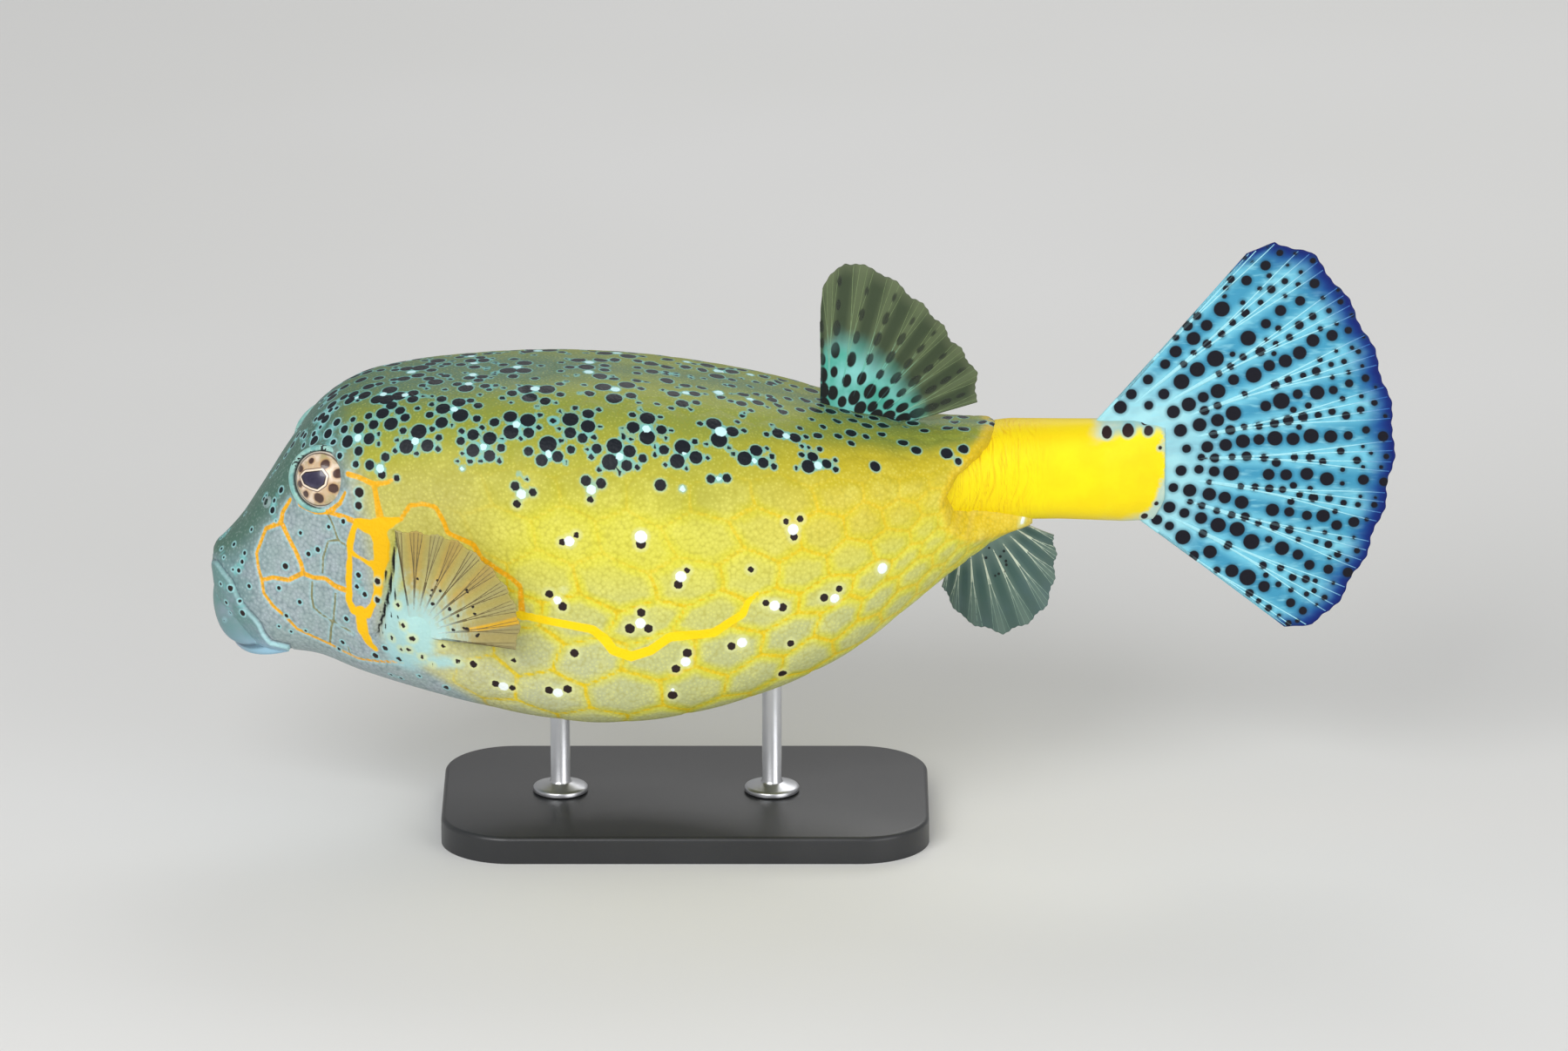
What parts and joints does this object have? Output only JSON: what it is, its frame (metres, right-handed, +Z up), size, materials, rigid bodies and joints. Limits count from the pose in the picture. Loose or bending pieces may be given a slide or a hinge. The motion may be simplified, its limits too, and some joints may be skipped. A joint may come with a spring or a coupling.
{
  "type": "yellow boxfish museum model",
  "caption": "Life-size still model of an adult yellow boxfish with plated shell, fanned fins and a long tail stalk, on a plain display stand.",
  "frame": {"origin": "middle of the whole model in plan, at the underside of the stand's base", "axes": "+X from the snout towards the tail fin, +Y towards the fish's right side, +Z up"},
  "size_m": [0.2999, 0.1032, 0.1531],
  "materials": {
    "head_skin": "damp skin, satin, lavender grey with orange seams",
    "lip_skin": "soft damp skin, pale blue",
    "eye": "clear gloss over a cream iris",
    "shell_plates": "fine-grained plates, satin, mustard yellow with dark spots",
    "stalk_skin": "soft damp skin, bright yellow",
    "tail_fin": "satin membrane, blue with dark spots",
    "back_fin": "satin membrane, olive green",
    "belly_fin": "satin membrane, grey white",
    "side_fin": "satin membrane, olive brown",
    "stand_plate": "satin black",
    "stand_rod": "brushed"
  },
  "bodies": {
    "root": {"head": "head_skin", "upper_lip": "lip_skin", "lower_lip": "lip_skin", "eye_left": "eye", "eye_right": "eye", "carapace": "shell_plates", "tail_stalk": "stalk_skin", "caudal_fin": "tail_fin", "dorsal_fin": "back_fin", "anal_fin": "belly_fin", "pectoral_fin_left": "side_fin", "pectoral_fin_right": "side_fin", "stand_base": "stand_plate", "stand_rod_front": "stand_rod", "stand_rod_rear": "stand_rod"}
  },
  "joints": []
}
